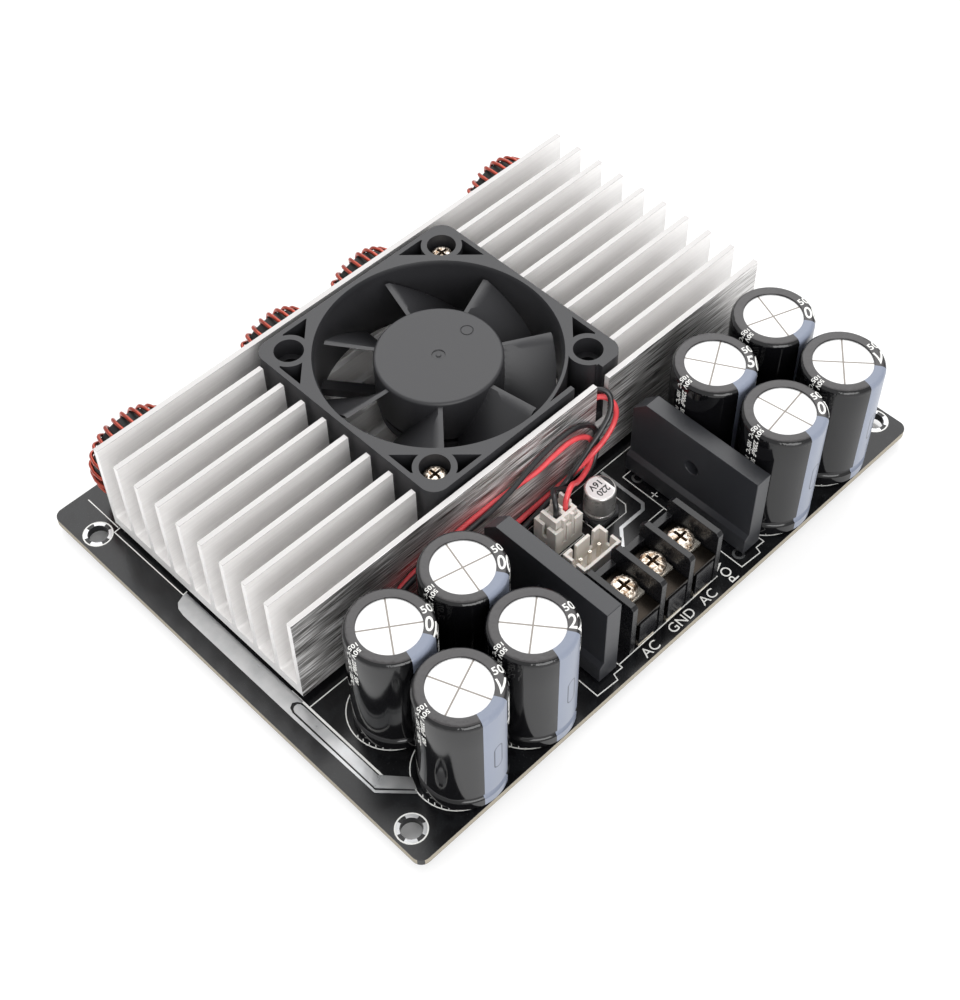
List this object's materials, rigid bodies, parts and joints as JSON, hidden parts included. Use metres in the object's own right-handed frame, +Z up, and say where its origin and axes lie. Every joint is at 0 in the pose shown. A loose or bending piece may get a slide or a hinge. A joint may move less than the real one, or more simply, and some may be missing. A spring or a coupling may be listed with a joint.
{
  "type": "audio amplifier board",
  "caption": "Audio amplifier circuit board with a finned heat sink, recessed cooling fan, supply capacitors, rectifiers, screw terminals and output inductors.",
  "frame": {"origin": "middle of the four mounting holes on the board's underside", "axes": "+X to the right along the board's front edge, +Y to the rear, +Z up out of the component side"},
  "size_m": [0.134, 0.1042, 0.031],
  "materials": {
    "board_mask": "gloss",
    "solder": "satin",
    "aluminium": "satin",
    "plated_screw": "gloss",
    "thermal_pad": "matte",
    "black_package": "matte",
    "fan_plastic": "satin",
    "steel": "satin",
    "magnet": "matte",
    "bronze": "satin",
    "copper": "gloss",
    "green_board": "gloss",
    "red_wire": "gloss",
    "black_wire": "gloss",
    "cream_plastic": "satin",
    "tinned_pin": "gloss",
    "cap_sleeve": "gloss",
    "metal_can": "satin",
    "resistor": "satin",
    "core": "matte"
  },
  "bodies": {
    "board": {"circuit_board": "board_mask", "solder_joints": "solder", "heat_sink": "aluminium", "sink_screws": "plated_screw", "thermal_pads": "thermal_pad", "amplifier_chip_1": "black_package", "amplifier_chip_2": "black_package", "fan_frame": "fan_plastic", "fan_bearing": "bronze", "fan_stator": "steel", "fan_coils": "copper", "fan_driver_board": "green_board", "fan_screws": "plated_screw", "fan_wire_red": "red_wire", "fan_wire_black": "black_wire", "fan_plug": "cream_plastic", "fan_header": "cream_plastic", "audio_header": "cream_plastic", "speaker_header_1": "cream_plastic", "speaker_header_2": "cream_plastic", "header_pins": "tinned_pin", "capacitor_1": "cap_sleeve", "capacitor_2": "cap_sleeve", "capacitor_3": "cap_sleeve", "capacitor_4": "cap_sleeve", "capacitor_5": "cap_sleeve", "capacitor_6": "cap_sleeve", "capacitor_7": "cap_sleeve", "capacitor_8": "cap_sleeve", "rectifier_1": "black_package", "rectifier_2": "black_package", "rectifier_leads": "tinned_pin", "smd_capacitor": "metal_can", "smd_capacitor_base": "black_package", "chip_resistors": "resistor", "terminal_block": "black_package", "terminal_contacts": "plated_screw", "inductor_core_1": "core", "inductor_core_2": "core", "inductor_core_3": "core", "inductor_core_4": "core", "inductor_winding_1": "copper", "inductor_winding_2": "copper", "inductor_winding_3": "copper", "inductor_winding_4": "copper"},
    "rotor": {"fan_rotor": "fan_plastic", "fan_yoke": "steel", "fan_magnet": "magnet", "fan_shaft": "steel"},
    "clamp_1": {"terminal_clamp_1": "plated_screw"},
    "screw_1": {"terminal_screw_1": "plated_screw"},
    "clamp_2": {"terminal_clamp_2": "plated_screw"},
    "screw_2": {"terminal_screw_2": "plated_screw"},
    "clamp_3": {"terminal_clamp_3": "plated_screw"},
    "screw_3": {"terminal_screw_3": "plated_screw"}
  },
  "joints": [
    {"name": "rotor_spin", "type": "hinge", "parent": "board", "child": "rotor", "pos_m": [0.0003, 0.0149, 0.019], "axis": [0, 0, 1], "continuous": true},
    {"name": "clamp_lift_1", "type": "slide", "parent": "board", "child": "clamp_1", "axis": [0, 0, 1], "range_m": [0, 0.003]},
    {"name": "screw_turn_1", "type": "hinge", "parent": "clamp_1", "child": "screw_1", "pos_m": [-0.00732, -0.04045, 0.012], "axis": [0, 0, 1], "range_deg": [0, 2160]},
    {"name": "clamp_lift_2", "type": "slide", "parent": "board", "child": "clamp_2", "axis": [0, 0, 1], "range_m": [0, 0.003]},
    {"name": "screw_turn_2", "type": "hinge", "parent": "clamp_2", "child": "screw_2", "pos_m": [0.0003, -0.04045, 0.012], "axis": [0, 0, 1], "range_deg": [0, 2160]},
    {"name": "clamp_lift_3", "type": "slide", "parent": "board", "child": "clamp_3", "axis": [0, 0, 1], "range_m": [0, 0.003]},
    {"name": "screw_turn_3", "type": "hinge", "parent": "clamp_3", "child": "screw_3", "pos_m": [0.00792, -0.04045, 0.012], "axis": [0, 0, 1], "range_deg": [0, 2160]}
  ],
  "couplings": [
    {"joint": "screw_turn_1", "follows": "clamp_lift_1", "rad_per_m": 12566},
    {"joint": "screw_turn_2", "follows": "clamp_lift_2", "rad_per_m": 12566},
    {"joint": "screw_turn_3", "follows": "clamp_lift_3", "rad_per_m": 12566}
  ]
}
